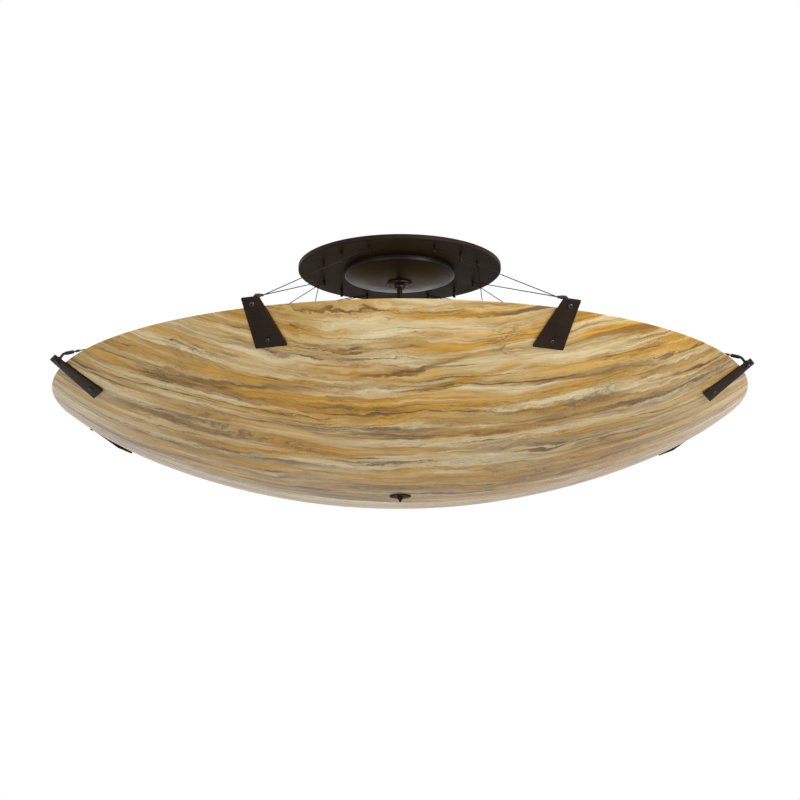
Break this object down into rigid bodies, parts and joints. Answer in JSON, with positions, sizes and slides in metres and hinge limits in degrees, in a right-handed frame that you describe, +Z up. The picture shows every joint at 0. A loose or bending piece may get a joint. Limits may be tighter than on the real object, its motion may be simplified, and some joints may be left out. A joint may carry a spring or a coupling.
{
  "type": "semi flush ceiling light",
  "caption": "Wide shallow bowl of streaked amber and cream art glass on dark bronze rim brackets, hung on thin wires under a round bronze canopy with a dome and stem.",
  "frame": {"origin": "centre of the ceiling face, on the stem's axis", "axes": "+Z up into the ceiling, the light hangs below; -Y to the front"},
  "size_m": [1.2198, 1.2198, 0.4338],
  "materials": {
    "art_glass": "satin translucent, amber, cream and brown streaks",
    "dark_bronze": "satin",
    "black_metal": "satin",
    "plain_steel": "brushed",
    "steel_wire": "stranded",
    "white_enamel": "gloss",
    "white_porcelain": "glazed",
    "frosted_glass": "frosted",
    "soft_rubber": "matte"
  },
  "bodies": {
    "fixture": {"bowl": "art_glass", "canopy_plate": "dark_bronze", "ceiling_crossbar": "plain_steel", "mounting_studs": "plain_steel", "canopy_nuts": "dark_bronze", "wire_anchors": "dark_bronze", "dome_seat_ring": "dark_bronze", "stem_coupling": "plain_steel", "stem": "dark_bronze", "lamp_hub": "white_enamel", "lamp_hub_cover": "white_enamel", "finial_rod": "plain_steel", "bowl_inner_washer": "soft_rubber", "bowl_inner_nut": "plain_steel", "finial_washer": "dark_bronze", "upper_bolts": "dark_bronze", "lower_bolts": "dark_bronze", "bracket_pads": "soft_rubber", "inner_pads": "soft_rubber", "lower_nuts": "plain_steel", "wire_terminals": "black_metal", "bracket_1": "dark_bronze", "bracket_2": "dark_bronze", "bracket_3": "dark_bronze", "bracket_4": "dark_bronze", "bracket_5": "dark_bronze", "bracket_6": "dark_bronze", "bracket_7": "dark_bronze", "bracket_8": "dark_bronze", "wire_1_a": "steel_wire", "wire_1_b": "steel_wire", "wire_2_a": "steel_wire", "wire_2_b": "steel_wire", "wire_3_a": "steel_wire", "wire_3_b": "steel_wire", "wire_4_a": "steel_wire", "wire_4_b": "steel_wire", "wire_5_a": "steel_wire", "wire_5_b": "steel_wire", "wire_6_a": "steel_wire", "wire_6_b": "steel_wire", "wire_7_a": "steel_wire", "wire_7_b": "steel_wire", "wire_8_a": "steel_wire", "wire_8_b": "steel_wire", "lampholder_1": "white_porcelain", "lampholder_2": "white_porcelain", "lampholder_3": "white_porcelain", "lampholder_4": "white_porcelain"},
    "dome": {"canopy_dome": "dark_bronze"},
    "collar": {"dome_collar": "dark_bronze", "collar_screw": "plain_steel"},
    "finial": {"finial_knob": "dark_bronze"},
    "bulb_1": {"bulb_1": "frosted_glass"},
    "bulb_2": {"bulb_2": "frosted_glass"},
    "bulb_3": {"bulb_3": "frosted_glass"},
    "bulb_4": {"bulb_4": "frosted_glass"}
  },
  "joints": [
    {"name": "dome_drop", "type": "slide", "parent": "fixture", "child": "dome", "axis": [0, 0, -1], "range_m": [0, 0.12]},
    {"name": "collar_turn", "type": "hinge", "parent": "dome", "child": "collar", "pos_m": [0, 0, -0.038], "axis": [0, 0, 1], "continuous": true},
    {"name": "finial_turn", "type": "hinge", "parent": "fixture", "child": "finial", "pos_m": [0, 0, -0.4285], "axis": [0, 0, 1], "continuous": true},
    {"name": "bulb_1_turn", "type": "hinge", "parent": "fixture", "child": "bulb_1", "pos_m": [0.04243, -0.04243, -0.3191], "axis": [0.7071, -0.7071, 0], "continuous": true},
    {"name": "bulb_2_turn", "type": "hinge", "parent": "fixture", "child": "bulb_2", "pos_m": [0.04243, 0.04243, -0.3191], "axis": [0.7071, 0.7071, 0], "continuous": true},
    {"name": "bulb_3_turn", "type": "hinge", "parent": "fixture", "child": "bulb_3", "pos_m": [-0.04243, 0.04243, -0.3191], "axis": [-0.7071, 0.7071, 0], "continuous": true},
    {"name": "bulb_4_turn", "type": "hinge", "parent": "fixture", "child": "bulb_4", "pos_m": [-0.04243, -0.04243, -0.3191], "axis": [-0.7071, -0.7071, 0], "continuous": true}
  ]
}
